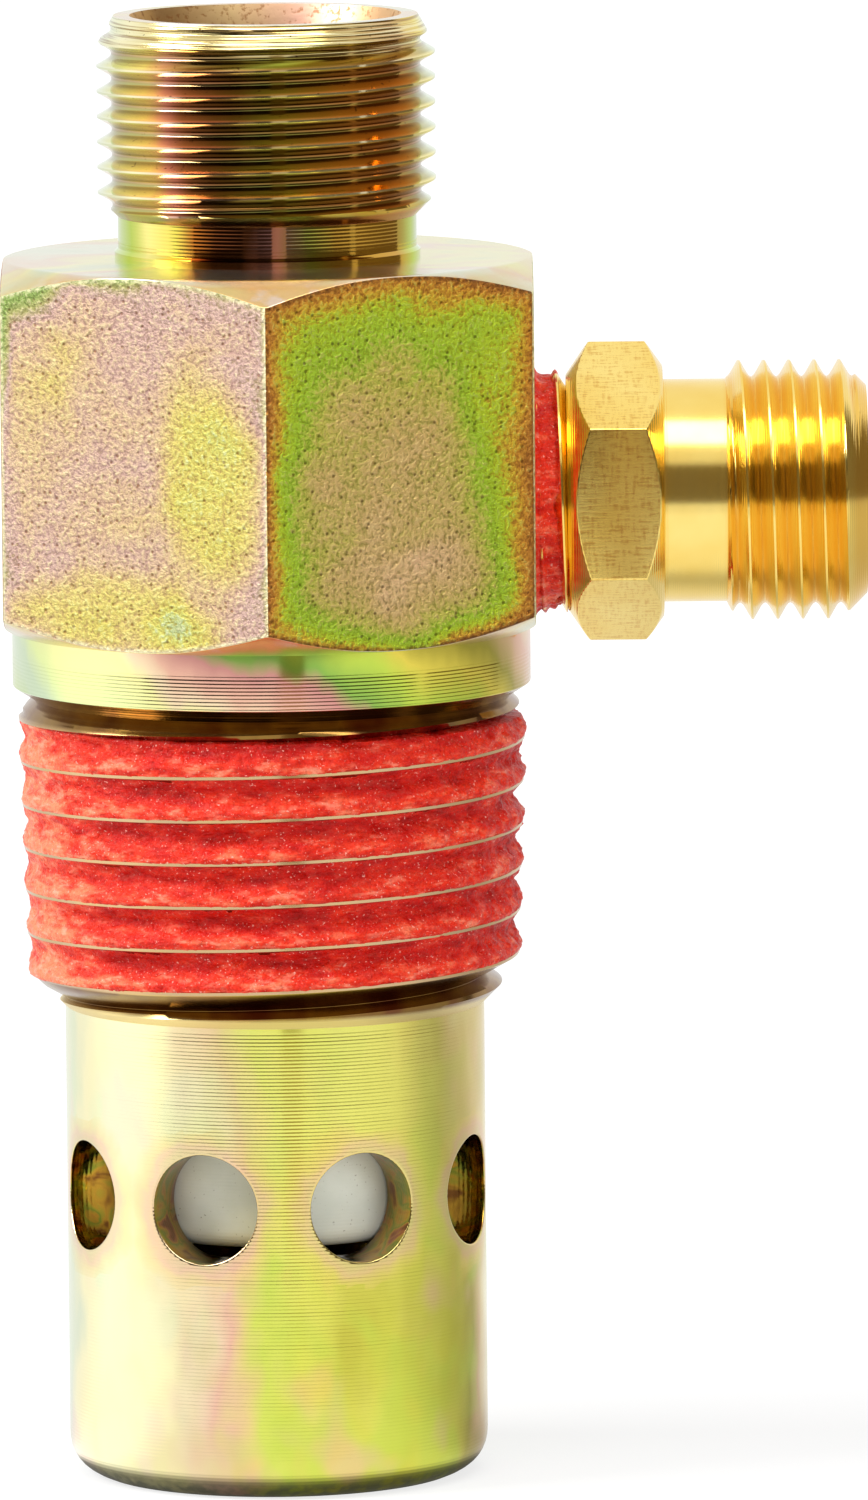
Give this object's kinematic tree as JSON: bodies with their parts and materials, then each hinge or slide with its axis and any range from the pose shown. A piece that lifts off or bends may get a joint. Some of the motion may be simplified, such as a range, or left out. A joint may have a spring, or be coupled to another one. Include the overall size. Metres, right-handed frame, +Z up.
{
  "type": "in-tank non-return valve",
  "caption": "In-tank non-return valve of an air compressor: hexagon steel body with tube inlet, tapered tank thread, drilled cage with a sprung piston, and a brass unloader fitting.",
  "frame": {"origin": "on the valve's axis, in the plane of the cage's lower edge, on which it stands", "axes": "+Z up along the valve's axis to the inlet; +X out along the unloader fitting; a corner of the hexagon points along -Y"},
  "size_m": [0.0362, 0.0256, 0.0616],
  "materials": {
    "body_steel": "turned free-cutting steel, zinc plated with an iridescent yellow chromate, matt pitted flats",
    "cage_steel": "turned steel, zinc plated with an iridescent yellow chromate, fine turning lines",
    "disc_steel": "stamped steel, zinc plated",
    "spring_steel": "drawn stainless wire",
    "ptfe": "white PTFE, turned",
    "brass": "turned free-cutting brass, bright, brushed on the hexagon",
    "sealant": "dried red thread sealant, lumpy and grainy"
  },
  "bodies": {
    "housing": {"valve_body": "body_steel", "outlet_cage": "cage_steel", "end_disc": "disc_steel", "return_spring": "spring_steel", "unloader_fitting": "brass", "tank_thread_sealant": "sealant", "unloader_thread_sealant": "sealant"},
    "piston": {"piston": "ptfe"}
  },
  "joints": [
    {"name": "piston_lift", "type": "slide", "parent": "housing", "child": "piston", "axis": [0, 0, -1], "range_m": [0, 0.0081], "stiffness_N_per_m": 250, "springref_m": -0.0043, "deforming": ["return_spring"]}
  ]
}
